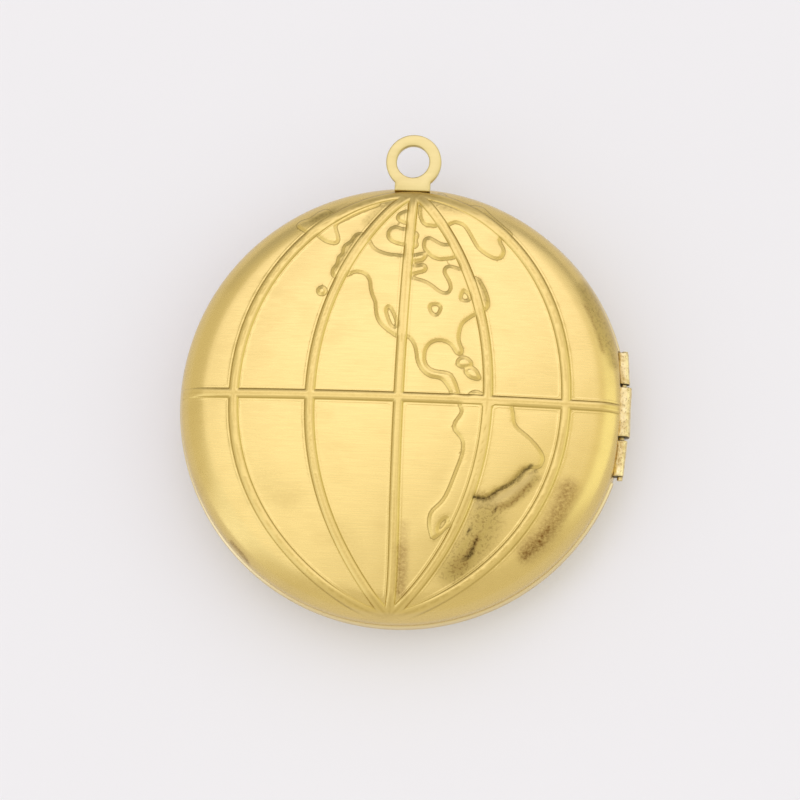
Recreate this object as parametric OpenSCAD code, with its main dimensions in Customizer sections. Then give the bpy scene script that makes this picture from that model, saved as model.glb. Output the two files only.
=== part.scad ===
// Round brass globe locket, closed and lying on its back.
// The front cover is pressed with a map in low relief under raised
// meridians and an equator. It is hinged to a plain back cover at 3 o'clock.
// The flat bail ring is soldered to the shoulder of the front cover at
// 12 o'clock, where it laps over the rim.
// Units are mm. Origin: centre of the flat on the back that it lies on.
// +Z comes out of the front, +Y points to the bail, +X to the hinge.

/* [Case] */
// Outside diameter of the case
case_d = 32; // [30:0.5:34]
// Height of the front cover, parting line to the middle of the crown
front_h = 3.6; // [3.4:0.1:4]
// Height of the back cover, flat of the back to the parting line
back_h = 3.3; // [3.1:0.1:3.6]
// Thickness of the brass sheet
sheet = 0.36; // [0.3:0.01:0.42]
// Radius of the gentle crown of both covers
crown_r = 110; // [100:5:130]
// Radius of the rounded shoulder of the front cover
front_shoulder = 2.25; // [2:0.05:2.4]
// Radius of the rounded shoulder of the back cover
back_shoulder = 2.1; // [1.9:0.05:2.2]
// Radius of the flat in the middle of the back
back_flat_r = 6; // [5:0.5:7]

/* [Relief] */
// Height of the land above the sea
land_h = 0.12; // [0.1:0.01:0.15]
// Height of the raised lines above the sea
line_h = 0.2; // [0.18:0.01:0.3]
// Width of a raised line
line_w = 0.7; // [0.6:0.02:0.8]
// Distance from the middle to where the meridians meet
pole_y = 15.3; // [14.8:0.1:15.4]

/* [Hinge] */
// Radius of the hinge pin
pin_r = 0.2; // [0.16:0.01:0.24]
// Clearance between the pin and the knuckle of the front cover
pin_gap = 0.03; // [0.02:0.01:0.05]
// Radius of the middle knuckle, which is on the front cover
mid_r = 0.58; // [0.5:0.02:0.62]
// Radius of the two end knuckles next to the middle one
end_r = 0.44; // [0.4:0.02:0.48]
// Distance from the middle of the case to the hinge pin
hinge_x = 15.66; // [15.62:0.01:15.72]
// Distance from the middle of the case to the recess that carries the hinge
hinge_flat = 15.5; // [15.45:0.01:15.52]

/* [Bail] */
// Outside radius of the bail ring
bail_r = 1.97; // [1.9:0.01:2.1]
// Radius of the hole in the bail
bail_hole_r = 1.21; // [1:0.05:1.3]
// Distance from the middle of the case to the middle of the bail hole
bail_y = 17.62; // [17.5:0.01:18]
// Height of the underside of the bail above the parting line
bail_z = 1.5; // [1.4:0.05:1.55]
// Width of the neck between the ring and the case
bail_neck_w = 2.54; // [2:0.02:3]
// Thickness of the bail sheet
bail_t = 0.5; // [0.45:0.05:0.6]

/* [Hidden] */
$fn = 128;
case_r = case_d / 2;
part_z = back_h;          // height of the parting line
seam = 0.03;              // half of the gap between the covers
recess_r = 30;            // bend of the recess at the hinge, seen from the front
hinge_wall = 0.62;        // thickness of the wall behind it
recess_y = [-4.95, 4.7];  // and from where to where it is cut
axis_z = part_z;

// Knuckles along the hinge, from and to, in Y
k_mid = [-1.66, 1.97];
k_up = [2.18, 4.53];
k_low = [-4.52, -1.88];
pin_y = [-4.76, 4.6];

// Meridians: distance from the middle at the equator, and how quickly they
// close in towards each pole
MERIDIANS = [
  //  x_equator, north, south
  [-11.87, 0.56, 0.62],
  [ -6.37, 0.80, 0.82],
  [  6.37, 0.85, 0.88],
  [ 11.95, 0.56, 0.66],
];
equator_y = -0.14;
lines_y = -0.17;

// The map and its lines are struck a little to the left of the middle
map_shift = [-0.18, 0.12];
map_scale = 0.992;

// Coasts of the map, one point at each turn, drawn by hand: [x, y]
NORTH_LAND = [
  [-2.75, 11.75], [-2.5, 11.2], [-2.15, 10.8], [-1.6, 10.55], [-0.9, 10.42], [0.3, 10.38],
  [0.9, 10.5], [1.35, 10.6], [1.5, 10.4], [1.3, 10.05], [0.7, 9.95],
  [0.6, 9.75], [0.95, 9.65], [1.35, 9.75], [1.6, 9.5], [1.45, 9.2], [0.9, 9.05], [0.55, 8.9],
  [0.7, 8.72], [1.2, 8.6], [1.7, 8.42], [2.15, 8.15], [2.6, 7.8], [3.05, 7.65], [3.35, 7.85],
  [3.35, 8.3], [3.1, 8.8], [2.87, 9.2], [2.92, 9.55], [3.25, 9.7], [3.7, 9.6], [4.3, 9.4],
  [5.0, 9.0], [5.4, 8.75], [5.7, 8.35], [6.0, 7.75], [6.17, 7.2], [6.15, 6.75], [5.85, 6.4],
  [5.2, 6.1], [4.8, 5.8], [4.45, 5.5], [4.27, 5.1], [4.2, 4.6], [4.22, 4.15], [4.38, 3.75],
  [4.5, 3.4], [4.35, 3.12], [4.08, 3.2], [3.85, 3.55], [3.6, 3.85], [3.2, 4.05], [2.7, 4.1],
  [2.2, 3.9], [1.9, 3.5], [1.8, 3.0], [1.87, 2.5], [2.12, 2.1], [2.6, 1.87], [3.3, 1.8],
  [3.75, 1.65], [4.05, 1.2], [4.25, 0.7], [4.42, 0.2], [4.4, -0.2],
  [3.9, -0.2], [3.78, 0.4], [3.5, 0.85], [3.2, 1.2], [2.85, 1.36], [2.3, 1.42], [1.8, 1.75],
  [1.45, 2.2], [1.25, 2.7], [1.17, 3.2], [1.0, 3.75], [0.56, 4.3], [0.15, 4.1], [-0.3, 4.3],
  [-0.9, 4.7], [-1.4, 5.1], [-1.75, 5.6], [-1.9, 6.2], [-1.97, 6.8], [-2.2, 7.3], [-2.38, 7.9],
  [-2.45, 8.4], [-2.75, 8.83], [-3.3, 9.02], [-3.8, 8.9], [-4.2, 8.6], [-4.65, 8.5],
  [-5.0, 8.6], [-5.22, 8.9], [-5.15, 9.25], [-4.87, 9.6], [-4.82, 10.1], [-4.52, 10.4],
  [-4.52, 10.8], [-4.3, 11.1], [-3.95, 11.35], [-3.75, 11.75], [-3.35, 11.97],
];
SOUTH_LAND = [
  [4.3, 0], [4.42, -0.5], [4.6, -0.85], [4.6, -1.15], [4.35, -1.55], [4.15, -1.9],
  [4.15, -2.3], [4.4, -2.62], [4.73, -3.0], [4.85, -3.5], [4.8, -4.1], [4.6, -4.8],
  [4.35, -5.55], [4.1, -6.3], [3.78, -7.1], [3.4, -7.7], [2.92, -8.15], [2.7, -8.6],
  [2.66, -9.2], [2.8, -9.8], [3.0, -10.25], [3.35, -10.05], [3.7, -9.7], [4.0, -9.35],
  [4.4, -9.1], [5.0, -8.4], [5.45, -7.3], [5.8, -7.12], [6.3, -7.2], [6.8, -7.05], [7.4, -6.6],
  [8.0, -6.35], [8.5, -5.9], [8.9, -5.4], [9.3, -4.97], [9.7, -4.82], [10.2, -4.87],
  [10.5, -4.6], [10.6, -4.1], [10.38, -3.6], [9.9, -3.05], [9.3, -2.5], [8.72, -2.07],
  [8.42, -1.6], [8.35, -1.0], [8.2, -0.5], [8.1, 0],
];
GREEN_LAND = [
  [2.3, 13.4], [2.7, 12.95], [3.05, 12.8], [3.35, 12.98], [3.75, 12.95], [4.15, 12.75], [4.5, 12.25],
  [4.8, 11.75], [5.15, 11.2], [5.6, 10.8], [6.1, 10.5], [6.6, 10.35], [6.95, 10.5],
  [7.1, 10.9], [7.0, 11.3], [6.7, 11.85], [7.2, 12.1], [7.6, 12.25], [7.2, 12.65],
  [6.5, 13.2], [5.8, 13.8], [5.3, 14.3], [4.2, 14.4], [2.6, 14.5], [1.4, 14.6],
];
WEST_LAND = [
  [-6.9, 11.8], [-6.5, 11.75], [-6.15, 11.5], [-5.75, 11.25], [-5.3, 11.12], [-4.95, 11.15],
  [-4.85, 11.5], [-5.0, 12.0], [-5.13, 12.55], [-4.6, 12.9], [-3.8, 13.35], [-2.9, 13.8],
  [-2.0, 14.2], [-2.6, 14.3], [-4.0, 13.7], [-5.5, 12.9],
];
WEST_RIM = [
  [-6.9, 11.85], [-7.4, 12.05], [-7.95, 12.45], [-7.6, 12.85], [-7.0, 13.0], [-6.5, 13.5],
  [-5.9, 13.75], [-5.6, 13.5], [-5.2, 13.3], [-5.7, 12.9], [-6.4, 12.3],
];
BAY_ISLAND = [
  [1.3, 11.0], [1.3, 11.55], [1.6, 11.8], [2.0, 11.65], [2.5, 11.37], [3.0, 11.3],
  [3.6, 11.3], [3.9, 10.6], [3.5, 10.3], [3.0, 10.2], [2.4, 10.15], [1.9, 10.35], [1.55, 10.7],
];
POLE_ISLAND = [
  [0.85, 14.2], [0.93, 13.3], [1.25, 12.77], [1.7, 12.67], [2.3, 12.7], [2.3, 13.2], [1.5, 14.1],
];
ICE_ISLAND_A = [
  [-1.35, 11.95], [-1.2, 12.35], [-0.8, 12.55], [-0.3, 12.38], [0.1, 12.3], [0.1, 11.25],
  [-0.4, 11.2], [-0.9, 11.35], [-1.25, 11.6],
];
ICE_ISLAND_B = [[-0.75, 13.2], [-0.5, 13.6], [0.1, 13.75], [0.1, 12.85], [-0.4, 12.9]];
ICE_ISLAND_C = [
  [0.2, 12.25], [0.65, 12.2], [0.85, 11.9], [0.7, 11.55], [0.86, 11.2], [0.6, 10.95], [0.2, 10.9],
];
WARM_ISLAND_A = [
  [4.13, 2.5], [4.25, 2.8], [4.6, 2.97], [5.0, 2.83], [5.22, 2.5], [5.1, 2.3], [4.75, 2.25], [4.35, 2.22],
];
WARM_ISLAND_B = [
  [4.72, 2.0], [5.0, 2.2], [5.3, 2.22], [5.62, 1.95], [5.85, 1.42], [5.45, 1.38], [5.0, 1.55],
];
NORTH_CAPE = [[5.0, 0], [5.2, 0.35], [5.6, 0.5], [6.0, 0.35], [6.2, 0]];
LAKE_A = [[2.0, 6.7], [2.7, 6.72], [2.7, 6.3], [2.5, 6.0], [2.15, 6.15]];
LAKE_B = [[4.35, 7.9], [4.75, 7.5], [4.75, 7.2], [4.2, 7.2]];
LAKE_C = [[-1.12, 6.3], [-0.85, 6.45], [-0.35, 5.4], [-0.4, 5.02], [-0.68, 5.1], [-1.0, 5.8]];
LAKE_D = [[3.35, -9.75], [3.42, -9.2], [3.72, -8.8], [4.03, -8.75], [3.9, -9.15], [3.68, -9.5]];

// A point on the smooth curve through a closed ring of points
function curve(p, i, t) =
  let(n = len(p), a = p[(i + n - 1) % n], b = p[i], c = p[(i + 1) % n], d = p[(i + 2) % n])
  0.5 * (2 * b + (c - a) * t + (2 * a - 5 * b + 4 * c - d) * t * t
         + (3 * b - a - 3 * c + d) * t * t * t);
function smooth(p) = [for (i = [0:len(p) - 1], t = [0, 0.5]) curve(p, i, t)];

// A meridian: the middle one bows a little, the others widen from it
function middle_x(y) = 0.08 + 0.32 * pow(y / pole_y, 2);
function meridian(m, q) =
  let(y = pole_y * sin(q), close = q < 0 ? m[2] : m[1])
  [middle_x(y) + m[0] * pow(max(1 - pow(abs(sin(q)), 2.1), 0), close), y + lines_y];
function side(m, q, w) =
  let(p = meridian(m, q), d = meridian(m, q + 1) - meridian(m, q - 1))
  p + w * [d.y, -d.x] / norm(d);

module meridian_band(m) {
  stations = [for (q = [-84:7:84]) q];
  polygon(concat([for (q = stations) side(m, q, line_w / 2)],
                 [for (i = [len(stations) - 1:-1:0]) side(m, stations[i], -line_w / 2)]));
}

// Solid under a crowned face with a rounded shoulder, standing on z = 0
module crowned(r, shoulder, h, crown) {
  edge_z = h - crown + sqrt(pow(crown - shoulder, 2) - pow(r - shoulder, 2));
  turn_r = (r - shoulder) * crown / (crown - shoulder);
  rotate_extrude() {
    intersection() {
      square([turn_r, h]);
      translate([0, h - crown]) circle(r = crown, $fn = 720);
    }
    square([r, edge_z]);
    intersection() {
      translate([r - shoulder, edge_z]) circle(r = shoulder);
      square([r, h]);
    }
  }
}

module bar_y(r, y0, y1) {
  translate([hinge_x, y0, axis_z]) rotate([-90, 0, 0]) cylinder(r = r, h = y1 - y0);
}

module land_plan() {
  difference() {
    union() {
      polygon(smooth(NORTH_LAND));
      polygon(smooth(SOUTH_LAND));
      polygon(smooth(GREEN_LAND));
      polygon(smooth(WEST_LAND));
      polygon(smooth(WEST_RIM));
      polygon(smooth(BAY_ISLAND));
      polygon(smooth(POLE_ISLAND));
      polygon(smooth(ICE_ISLAND_A));
      polygon(smooth(ICE_ISLAND_B));
      polygon(smooth(ICE_ISLAND_C));
      polygon(smooth(WARM_ISLAND_A));
      polygon(smooth(WARM_ISLAND_B));
      polygon(smooth(NORTH_CAPE));
      translate([-5.85, 7.55]) circle(r = 0.32, $fn = 24);
    }
    polygon(smooth(LAKE_A));
    polygon(smooth(LAKE_B));
    polygon(smooth(LAKE_C));
    polygon(smooth(LAKE_D));
  }
}

module line_plan() {
  for (m = MERIDIANS) meridian_band(m);
  // The middle meridian and the equator
  polygon(concat([for (y = [-15.3:5.1:15.3]) [middle_x(y) + line_w / 2, y + lines_y]],
                 [for (y = [15.3:-5.1:-15.3]) [middle_x(y) - line_w / 2, y + lines_y]]));
  translate([-15.85, equator_y - line_w / 2]) square([31.3, line_w]);
}

// Space beyond the shallow recess at the hinge, which is a wide arc
module beyond(inset, y0, y1) {
  difference() {
    translate([10, y0, part_z - 6]) cube([14, y1 - y0, 12]);
    translate([hinge_flat - recess_r, 0, part_z - 7])
      cylinder(r = recess_r - inset, h = 14, $fn = 256);
  }
}

// The hollow of a cover stops short of the recess
module hollow() {
  difference() {
    children();
    beyond(hinge_wall, -6.4, 6.4);
  }
}

module on_cover() translate(map_shift) scale(map_scale) children();

module front_solid(up) {
  translate([0, 0, part_z + up]) crowned(case_r - min(up, 0.1), front_shoulder, front_h, crown_r);
}

module front_cover() color("#E6CB7C") {
  difference() {
    union() {
      difference() {
        front_solid(0);
        translate([0, 0, part_z - 1]) cylinder(r = case_r + 1, h = 1 + seam);
      }
      intersection() {
        front_solid(land_h);
        translate([0, 0, part_z + 1]) linear_extrude(height = front_h)
          on_cover() land_plan();
      }
      intersection() {
        front_solid(line_h);
        translate([0, 0, part_z + 1]) linear_extrude(height = front_h)
          on_cover() line_plan();
      }
      bail();
    }
    hollow() translate([0, 0, part_z])
      crowned(case_r - sheet, front_shoulder - sheet, front_h - sheet, crown_r - sheet);
    beyond(0, recess_y[0], recess_y[1]);
    // Room for the end knuckles
    bar_y(end_r + 0.06, k_up[0] - 0.09, k_up[1] + 0.12);
    bar_y(end_r + 0.06, k_low[0] - 0.35, k_low[1] + 0.09);
  }
  // Middle knuckle, soldered into the recess
  difference() {
    bar_y(mid_r, k_mid[0], k_mid[1]);
    bar_y(pin_r + pin_gap, k_mid[0] - 1, k_mid[1] + 1);
  }
}

// Flat bail ring with a short straight neck
module bail() {
  translate([0, 0, part_z + bail_z]) linear_extrude(height = bail_t) difference() {
    union() {
      translate([0, bail_y]) circle(r = bail_r);
      translate([-bail_neck_w / 2, 15.44]) square([bail_neck_w, bail_y - 15.44 - bail_hole_r]);
    }
    translate([0, bail_y]) circle(r = bail_hole_r);
  }
}

module back_solid(inset) {
  // The crown is cut flat in the middle, so that the locket lies level
  sag = crown_r - sqrt(crown_r * crown_r - back_flat_r * back_flat_r);
  intersection() {
    translate([0, 0, part_z]) mirror([0, 0, 1])
      crowned(case_r - inset, back_shoulder - inset, back_h + sag - inset, crown_r - inset);
    translate([0, 0, inset]) cylinder(r = case_r + 1, h = back_h);
  }
}

// The end away from the middle knuckle is a little thinner
module end_knuckle(span, up) {
  translate([hinge_x, span[0], axis_z]) rotate([-90, 0, 0])
    cylinder(r1 = up ? end_r : end_r - 0.08, r2 = up ? end_r - 0.08 : end_r,
             h = span[1] - span[0]);
}

module lug(span) {
  translate([hinge_flat - 0.59, span[0], axis_z - end_r + 0.1])
    cube([hinge_x - hinge_flat + 0.59, span[1] - span[0], end_r - 0.2]);
}

module back_cover() color("#D9BC6C") {
  difference() {
    union() {
      difference() {
        back_solid(0);
        hollow() back_solid(sheet);
        translate([0, 0, part_z - seam]) cylinder(r = case_r + 1, h = 2);
        beyond(0, recess_y[0], recess_y[1]);
        // Room for the middle knuckle
        bar_y(mid_r + 0.07, k_mid[0] - 0.09, k_mid[1] + 0.09);
      }
      // Snap rim that the front cover closes over, open beside the hinge
      difference() {
        union() {
          translate([0, 0, part_z - 1.1]) cylinder(r = case_r - sheet + 0.05, h = 0.9);
          translate([0, 0, part_z - 1.1]) cylinder(r = case_r - sheet - 0.08, h = 1.6);
        }
        translate([0, 0, part_z - 2]) cylinder(r = case_r - sheet - 0.4, h = 4);
        translate([case_r / 2, -6.6, part_z - 2]) cube([case_r, 13.2, 4]);
      }
      lug(k_up);
      lug(k_low);
      end_knuckle(k_up, true);
      end_knuckle(k_low, false);
    }
    bar_y(pin_r, pin_y[0] - 1, pin_y[1] + 1);
  }
}

module hinge_pin() color("#B79A55") {
  bar_y(pin_r, pin_y[0], pin_y[1]);
}

front_cover();
back_cover();
hinge_pin();
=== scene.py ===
# %% [markdown]
# # A round brass globe locket
# The locket is two dished covers of thin brass sheet, joined by a small hinge. The front one
# is pressed with a map in low relief under raised lines. The engineering model already fixes
# every size, so this script loads it first and then gives each part its real surface.

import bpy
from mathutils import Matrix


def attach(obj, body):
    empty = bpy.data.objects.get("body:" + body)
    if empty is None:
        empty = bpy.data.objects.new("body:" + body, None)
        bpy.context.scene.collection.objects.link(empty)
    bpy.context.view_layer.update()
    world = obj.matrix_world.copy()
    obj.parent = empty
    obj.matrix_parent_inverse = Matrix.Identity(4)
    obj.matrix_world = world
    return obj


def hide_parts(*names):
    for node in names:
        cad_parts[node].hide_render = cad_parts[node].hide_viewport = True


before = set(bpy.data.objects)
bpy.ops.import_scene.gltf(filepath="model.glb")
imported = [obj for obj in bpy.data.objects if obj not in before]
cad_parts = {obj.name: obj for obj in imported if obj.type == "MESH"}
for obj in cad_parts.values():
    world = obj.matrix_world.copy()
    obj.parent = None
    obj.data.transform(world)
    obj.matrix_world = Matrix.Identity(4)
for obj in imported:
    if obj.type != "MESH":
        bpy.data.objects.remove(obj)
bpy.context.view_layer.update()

# %% Tools of the trade
import math

import bmesh
import bpy
import numpy as np
from mathutils import Matrix, Vector, kdtree, noise
from mathutils.bvhtree import BVHTree

MM = 0.001  # Blender works in metres, and the sizes below are in millimetres


def in_scene(name, data):
    """A new object in the scene."""
    thing = bpy.data.objects.new(name, data)
    bpy.context.scene.collection.objects.link(thing)
    return thing


def from_points(name, points, faces):
    """A new mesh object from points in mm and faces."""
    mesh = bpy.data.meshes.new(name)
    mesh.from_pydata([tuple(p) for p in np.asarray(points) * MM], [], [list(f) for f in faces])
    return in_scene(name, mesh)


# %% [markdown]
# ## Brass, and how its surface was made
# The sheet is raw brass, brushed from side to side on a fine belt and then worn and a little
# tarnished. Brushing leaves very fine grooves along X. They are much finer than a pixel, so
# the pattern below is drawn as coarse as it needs to be to show. A metal's colour is the
# colour of its reflection, so the brightness of the cover comes from the room round it.

# %% Helpers for materials


def linear(colour):
    """An sRGB hex colour such as #DDC783 as linear RGBA."""
    parts = [int(colour[k:k + 2], 16) / 255 for k in (1, 3, 5)]
    return tuple(c / 12.92 if c <= 0.04045 else ((c + 0.055) / 1.055) ** 2.4 for c in parts) + (1.0,)


def join(tree, node, **links):
    """Sets inputs of a node, by name or number, or links them where the value is a socket."""
    for key, value in links.items():
        socket = node.inputs[int(key[2:]) if key[2:].isdigit() else key.replace("_", " ")]
        if isinstance(value, bpy.types.NodeSocket):
            tree.links.new(value, socket)
        else:
            socket.default_value = value


def add(tree, kind, settings=None, **links):
    """Adds a node. Settings are its properties, and links its inputs."""
    node = tree.nodes.new("ShaderNode" + kind)
    for key, value in (settings or {}).items():
        setattr(node, key, value)
    join(tree, node, **links)
    return node


def new_material(name, **looks):
    """A material, its node tree and its shader, with the looks that are the same all over."""
    material = bpy.data.materials.new(name)
    material.use_nodes = True
    tree = material.node_tree
    shader = tree.nodes["Principled BSDF"]
    join(tree, shader, **looks)
    return material, tree, shader


# %% Helpers for patterns


def grain(tree, sizes, detail=2.0, rough=0.5):
    """Noise from 0 to 1 whose grain has these sizes in mm along X, Y and Z."""
    place = add(tree, "TexCoord").outputs["Object"]
    shrink = tuple(1 / (size * MM) for size in sizes)
    fine = add(tree, "VectorMath", {"operation": "MULTIPLY"}, in0=place, in1=shrink).outputs[0]
    return add(tree, "TexNoise", Vector=fine, Scale=1.0, Detail=detail, Roughness=rough).outputs["Fac"]


def product(tree, *factors):
    """Multiplies factors. Each is a value, or a tuple of a value and how it is mapped.

    (value, a, b) goes from 0 at a to 1 at b in a soft curve, and (value, a, b, start, end)
    goes from start at a to end at b in a straight line.
    """
    result = 1.0
    for factor in factors:
        if isinstance(factor, tuple):
            value, *limits = factor
            curve = {"interpolation_type": "SMOOTHSTEP" if len(limits) == 2 else "LINEAR"}
            links = {f"in{place}": limit for place, limit in enumerate(limits, 1)}
            factor = add(tree, "MapRange", curve, in0=value, **links).outputs[0]
        result = add(tree, "Math", {"operation": "MULTIPLY"}, in0=result, in1=factor).outputs[0]
    return result


def total(tree, *parts):
    """Adds parts, each of them the factors of a product."""
    result = 0.0
    for factors in parts:
        part = product(tree, *factors)
        result = add(tree, "Math", {"operation": "ADD"}, in0=result, in1=part).outputs[0]
    return result


def bell(value, middle, half):
    """Two factors that give 1 at the middle, and 0 further than half from it."""
    return (value, middle - half, middle), (value, middle + half, middle)


# %% Helpers for colour and finish


def lay(tree, under, over, *factors):
    """Lays one colour over another, by the product of the factors."""
    return add(tree, "Mix", {"data_type": "RGBA"}, in0=product(tree, *factors), in6=under,
               in7=over).outputs[2]


def stored(tree, *names):
    """The amounts that the mesh holds under these names."""
    return [add(tree, "Attribute", {"attribute_name": name}).outputs["Fac"] for name in names]


def finish_metal(tree, shader, face, rough, height, strength, depth):
    """Gives the shader a colour, a roughness and a height pattern of this depth."""
    bump = add(tree, "Bump", Height=height, Strength=strength, Distance=depth).outputs[0]
    join(tree, shader, Base_Color=face, Roughness=rough, Normal=bump)


# %% [markdown]
# The front cover's mesh says how far each place is from a raised line and from a coast, and
# how stained it is. The material reads these marks: it paints shade over the beads and the
# slopes of the coasts, grime and painted shade darken the creases, and the die left crisper
# edges than the mesh can hold.

# %% Tarnish and painted shade
CLEAR_OF_LINE = (0.34, 0.44)  # beyond this a line hides nothing


def tarnish_and_shade(tree, face, rough):
    """Lays the stains stored in the front cover over its colour and roughness, and paints shade on the
    beads and at the coasts.
    """
    speck = grain(tree, (0.2, 0.2, 0.2), 4.0, 0.7)
    away, inland, struck, pale, olive, brown, dark = stored(
        tree, "from_line", "from_coast", "struck", "pale", "olive", "brown", "dark")
    clear = (away, *CLEAR_OF_LINE)
    line = product(tree, (away, 0.40, 0.33), struck)
    olive_film_and_shade = product(tree, olive, clear, (speck, 0.34, 0.6, 1.0, 0.5))
    layers = [
        ("#D2B96A", line, 0.22),  # painted shade: a darker tone over all of a bead
        ("#AE933C", *bell(away, 0.33, 0.09), struck, 0.5),  # painted shade on its flanks
        ("#A88A3C", (away, 0.13, 0.03), (speck, 0.4, 0.6, 0.5, 1.0), struck, 0.35),  # painted shade in the dip along its top, broken by specks
        ("#C4A94E", *bell(inland, 0.06, 0.22), clear, 0.35),  # painted shade on the slope of a coast
        ("#7A621E", *bell(inland, -0.09, 0.07), clear, 0.55),  # grime and painted shade in the crease at its foot
        ("#CCB478", pale),
        # The olive marks are partly a real film and partly painted shade and a painted dark reflection;
        # the brown ones are partly real stains and partly a painted dark edge.
        ("#A8924E", olive_film_and_shade),
        ("#6E5420", olive, clear, (speck, 0.49, 0.60, 0.0, 0.62)),  # dark specks in the olive marks
        ("#6E430F", brown, (speck, 0.34, 0.64, 0.35, 1.0)),
        ("#38260E", dark, (speck, 0.36, 0.54, 0.4, 1.0)),
    ]
    for colour, *factors in layers:
        face = lay(tree, face, linear(colour), *factors)
    return face, total(tree, [rough], [line, 0.05], [olive_film_and_shade, 0.08])


# %% Crisp edges, in mm
EDGE_H = 0.04  # crisp part of a bead's flank
LIP_H = 0.007  # lip just outside a bead
CREST_DEPTH = 0.005  # shallow dip along the top of a bead
FOOT_DEPTH = 0.009  # crease at the foot of a coast
BROW_H = 0.0045  # lip at the top of a coast
ROUGH_H = 0.006  # roughness of the top of a bead


def struck_edges(tree):
    """Height in mm of the crisp edges that the die left: on the beads and at the coasts."""
    away, inland, struck = stored(tree, "from_line", "from_coast", "struck")
    clear = (away, *CLEAR_OF_LINE)
    pitted = grain(tree, (0.12, 0.12, 0.12), 2.0)
    return total(
        tree,
        ((away, 0.38, 0.26), struck, EDGE_H),
        (*bell(away, 0.48, 0.09), struck, LIP_H),
        ((away, 0.14, 0.0), struck, -CREST_DEPTH),
        (*bell(inland, -0.09, 0.06), clear, -FOOT_DEPTH),
        (*bell(inland, 0.19, 0.05), clear, BROW_H),
        (pitted, (away, 0.38, 0.28), ROUGH_H))


# %% Sheet brass
BRUSH_LENGTH, BRUSH_WIDTH = 2.2, 0.11  # a groove, in mm, drawn coarse enough to show
BRUSH_DEPTH = 0.0018
WAVE_H = 0.02  # slow waves of the hand-held sheet


def sheet_brass(name, colour, roughness, marked=False, ledge_sheen=False):
    """Raw sheet brass, belt-brushed along X and lightly tarnished.

    marked reads the stains and painted shade marked in the front cover's mesh, and the other flag those
    in the back cover's: a pale sheen painted on its edge.
    """
    material, tree, shader = new_material(name, Metallic=1.0)
    streak = grain(tree, (BRUSH_LENGTH, BRUSH_WIDTH, BRUSH_WIDTH), 3.0, 0.6)
    cloud = grain(tree, (3.4, 2.2, 3.0), 3.0, 0.55)
    wave = grain(tree, (4.0, 3.0, 4.0), 1.0)
    face = lay(tree, linear(colour), linear("#B79B58"), (cloud, 0.50, 0.78, 0.0, 0.22))
    rough = product(tree, (streak, 0.3, 0.7, roughness - 0.03, roughness + 0.05))
    height = total(tree, [streak, BRUSH_DEPTH], [wave, WAVE_H])
    if marked:
        face, rough = tarnish_and_shade(tree, face, rough)
        height = total(tree, [height], [struck_edges(tree)])
    if ledge_sheen:
        # a pale sheen painted on the back cover's edge, for its glancing reflection
        face = lay(tree, face, linear("#E3D1A6"), *stored(tree, "ledge_sheen"))
    finish_metal(tree, shader, face, rough, height, 1.0, MM)
    return material


front_brass = sheet_brass("front_brushed_brass", "#DDC37C", 0.27, marked=True)
back_brass = sheet_brass("back_brushed_brass", "#DAC078", 0.30, ledge_sheen=True)
bail_brass = sheet_brass("bail_stamped_brass", "#D3C185", 0.33)


# %% Rolled and drawn brass
LUMP_H = 0.03  # height of the lumps that rolling and soldering leave, in mm


def rolled_brass(name, colour, end_grime_and_shade=0.0):
    """Rolled brass strip, pitted by solder and handling: dull, with dark pits, and with ends darkened by
    grime and painted shade.
    """
    material, tree, shader = new_material(name, Metallic=1.0)
    lump = grain(tree, (0.5, 0.5, 0.5), 3.0, 0.6)
    pit = grain(tree, (0.11, 0.17, 0.11), 3.0, 0.7)
    face = lay(tree, linear(colour), linear("#C8AC6C"), (lump, 0.45, 0.75, 0.0, 1.0))
    face = lay(tree, face, linear("#7A5E2C"), (pit, 0.57, 0.66, 0.0, 1.0), 0.7)
    along = add(tree, "SeparateXYZ", Vector=add(tree, "NewGeometry").outputs["Normal"]).outputs["Y"]
    facing = add(tree, "Math", {"operation": "ABSOLUTE"}, in0=along).outputs[0]
    # the end faces are darkened: grime, and painted shade of the gaps between knuckles
    face = lay(tree, face, linear("#33240E"), (facing, 0.55, 0.85), end_grime_and_shade)
    rough = product(tree, (lump, 0.3, 0.7, 0.34, 0.5))
    finish_metal(tree, shader, face, rough, lump, 0.8, LUMP_H * MM)
    return material


hinge_brass = rolled_brass("hinge_rolled_brass", "#EEDCA8", end_grime_and_shade=0.85)
pin_brass = rolled_brass("pin_drawn_brass", "#DCC893")


# %% White board


def white_board(name):
    """Matt white acrylic with the faintest mottle, lit a little from below."""
    material, tree, shader = new_material(name, Metallic=0.0, Roughness=0.9, Emission_Strength=0.25,
                                          Emission_Color=linear("#F0EFF3"))
    mottle = grain(tree, (30, 30, 30), 2.0)
    face = lay(tree, linear("#D0CFD4"), linear("#CFCED3"), (mottle, 0.3, 0.7, 0.0, 1.0))
    join(tree, shader, Base_Color=face)
    return material


table_white = white_board("matt_white_acrylic")
print("materials:", sorted(m.name for m in bpy.data.materials))

# %% [markdown]
# ## The sizes that the covers share
# These are the sizes of the real locket. Both covers are the same kind of dish: a very gentle
# crown in the middle, a rounded shoulder, and a short straight skirt down to the parting line.

# %% Sizes of the covers, in mm
CASE_R = 16.0  # outside radius of the case
PART_Z = 3.3  # height of the parting line above the table
SHEET = 0.36  # thickness of the brass sheet
CROWN_R = 110.0  # radius of the gentle crown
FRONT_H = 3.6  # height of the front cover above the parting line
FRONT_SHOULDER = 2.25  # radius of its rounded shoulder
BACK_H = 3.3  # depth of the back cover below the parting line
BACK_SHOULDER = 2.1  # radius of its shoulder
BACK_FLAT_R = 6.0  # radius of the flat that the locket lies on
SEAM = 0.03  # half of the hairline gap between the covers
LEDGE = 0.14  # the back cover's edge stands out this far

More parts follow.
